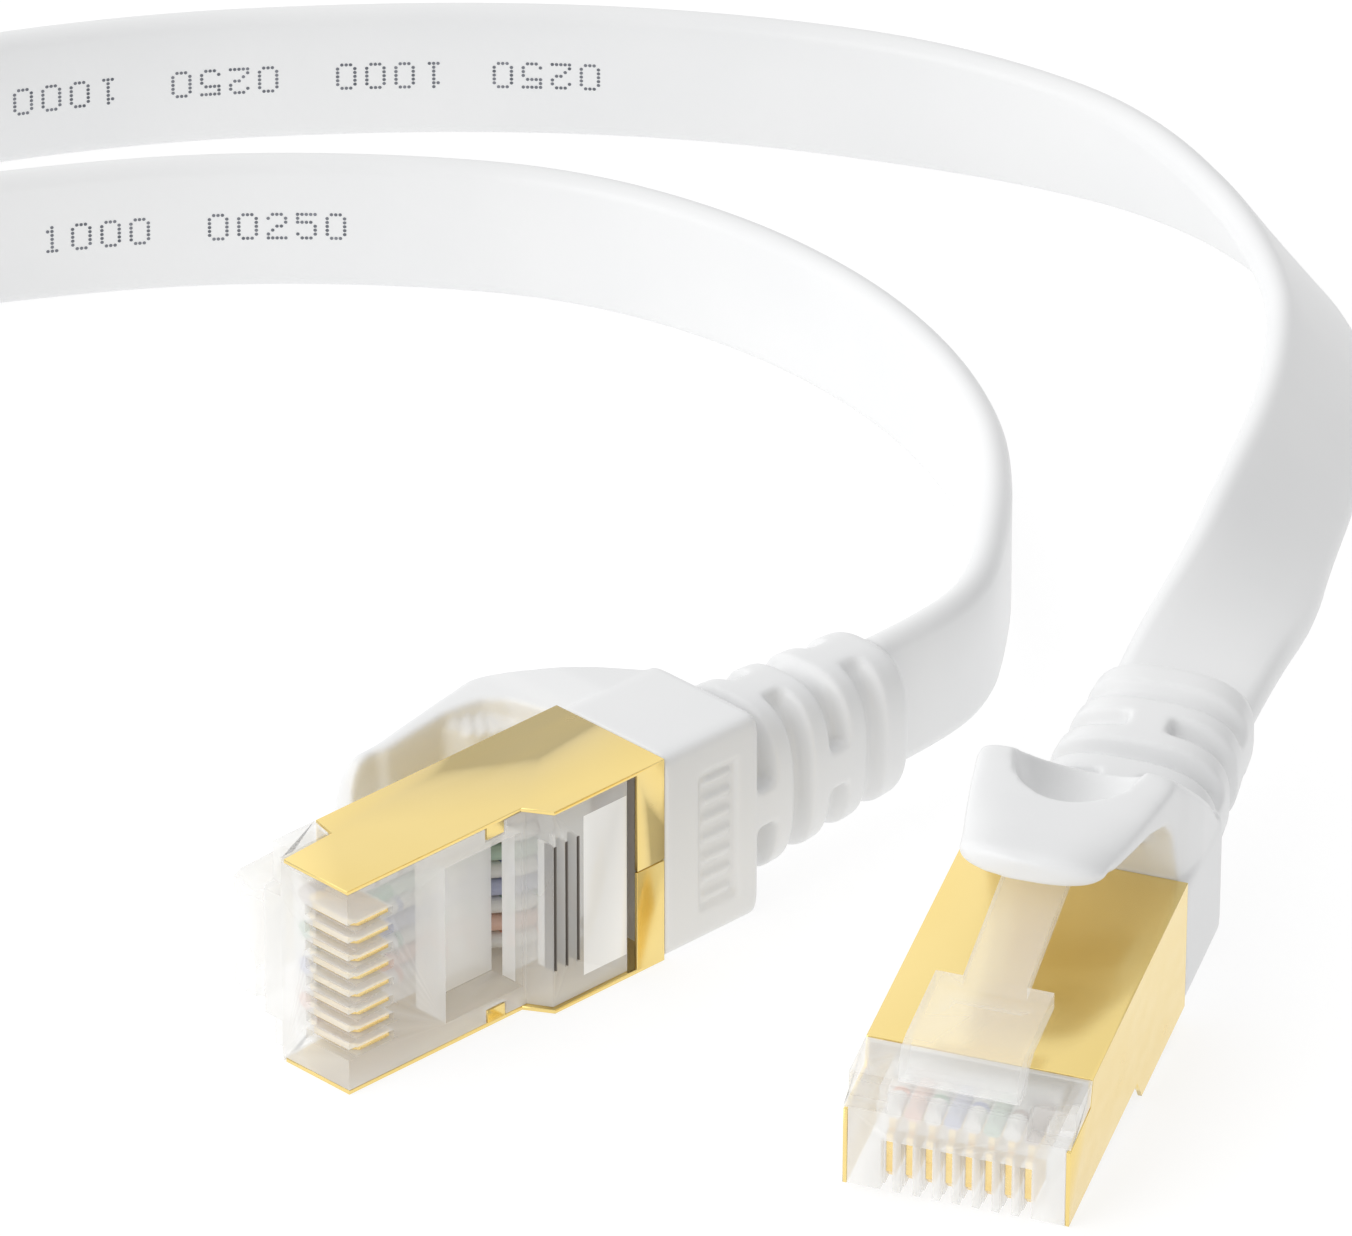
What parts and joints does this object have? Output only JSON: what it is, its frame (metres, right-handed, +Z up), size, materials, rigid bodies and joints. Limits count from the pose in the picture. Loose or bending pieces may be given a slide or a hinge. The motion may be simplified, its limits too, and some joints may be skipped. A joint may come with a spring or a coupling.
{
  "type": "ethernet patch cable",
  "caption": "Flat shielded network patch cable: clear modular plugs with gold shells, hooded strain-relief boots and a coiled white cord.",
  "frame": {"origin": "on plug A's lower shell wall, under its cord axis and 12 mm back from its nose, on the surface that the cable lies on", "axes": "+X out of plug A's nose, +Z up from the surface"},
  "size_m": [0.1649, 0.1538, 0.0153],
  "materials": {
    "clear_housing": "clear moulded polycarbonate, gloss",
    "gold_shell": "thin gold plating on folded sheet, satin",
    "contact_gold": "gold-plated contact blades",
    "load_bar": "white moulded nylon",
    "boot_pvc": "soft white PVC, moulded over, gloss",
    "cord_jacket": "smooth white PVC jacket",
    "braid": "folded-back copper braid",
    "insulation_white": "white insulation with the pair's colour as a thin stripe",
    "insulation_orange": "insulation",
    "insulation_blue": "insulation",
    "insulation_green": "insulation",
    "insulation_brown": "insulation",
    "tie_strap": "woven hook-and-loop strap"
  },
  "bodies": {
    "root": {"a_shield_shell": "gold_shell", "a_housing": "clear_housing", "a_load_bar": "load_bar", "a_boot": "boot_pvc", "a_jacket_end": "cord_jacket", "a_braid_collar": "braid", "a_contact_1": "contact_gold", "a_wire_1": "insulation_white", "a_contact_2": "contact_gold", "a_wire_2": "insulation_orange", "a_contact_3": "contact_gold", "a_wire_3": "insulation_white", "a_contact_4": "contact_gold", "a_wire_4": "insulation_blue", "a_contact_5": "contact_gold", "a_wire_5": "insulation_white", "a_contact_6": "contact_gold", "a_wire_6": "insulation_green", "a_contact_7": "contact_gold", "a_wire_7": "insulation_white", "a_contact_8": "contact_gold", "a_wire_8": "insulation_brown", "b_shield_shell": "gold_shell", "b_housing": "clear_housing", "b_load_bar": "load_bar", "b_boot": "boot_pvc", "b_jacket_end": "cord_jacket", "b_braid_collar": "braid", "b_contact_1": "contact_gold", "b_wire_1": "insulation_white", "b_contact_2": "contact_gold", "b_wire_2": "insulation_orange", "b_contact_3": "contact_gold", "b_wire_3": "insulation_white", "b_contact_4": "contact_gold", "b_wire_4": "insulation_blue", "b_contact_5": "contact_gold", "b_wire_5": "insulation_white", "b_contact_6": "contact_gold", "b_wire_6": "insulation_green", "b_contact_7": "contact_gold", "b_wire_7": "insulation_white", "b_contact_8": "contact_gold", "b_wire_8": "insulation_brown", "cable_lead_a": "cord_jacket", "cable_twist_b": "cord_jacket", "cable_lead_b": "cord_jacket", "cable_coil": "cord_jacket", "cable_tie": "tie_strap"},
    "latch_a": {"a_latch": "clear_housing"},
    "guard_a": {"a_latch_guard": "boot_pvc"},
    "latch_b": {"b_latch": "clear_housing"},
    "guard_b": {"b_latch_guard": "boot_pvc"}
  },
  "joints": [
    {"name": "guard_a_press", "type": "hinge", "parent": "root", "child": "guard_a", "pos_m": [-0.00985, -0.0046, 0.00584], "axis": [0, 0, 1], "range_deg": [0, 12], "stiffness_Nm_per_rad": 0.01},
    {"name": "latch_a_flex", "type": "hinge", "parent": "root", "child": "latch_a", "pos_m": [0.0107, -0.00435, 0.00584], "axis": [0, 0, -1], "range_deg": [0, 9]},
    {"name": "guard_b_press", "type": "hinge", "parent": "root", "child": "guard_b", "pos_m": [-0.02026, 0.02189, 0.0099], "axis": [-0.4715, 0.8808, -0.0433], "range_deg": [0, 12], "stiffness_Nm_per_rad": 0.01},
    {"name": "latch_b_flex", "type": "hinge", "parent": "root", "child": "latch_b", "pos_m": [-0.00225, 0.0314, 0.00711], "axis": [0.4715, -0.8808, 0.0433], "range_deg": [0, 9]}
  ],
  "couplings": [
    {"joint": "latch_a_flex", "follows": "guard_a_press", "ratio": 0.75},
    {"joint": "latch_b_flex", "follows": "guard_b_press", "ratio": 0.75}
  ]
}
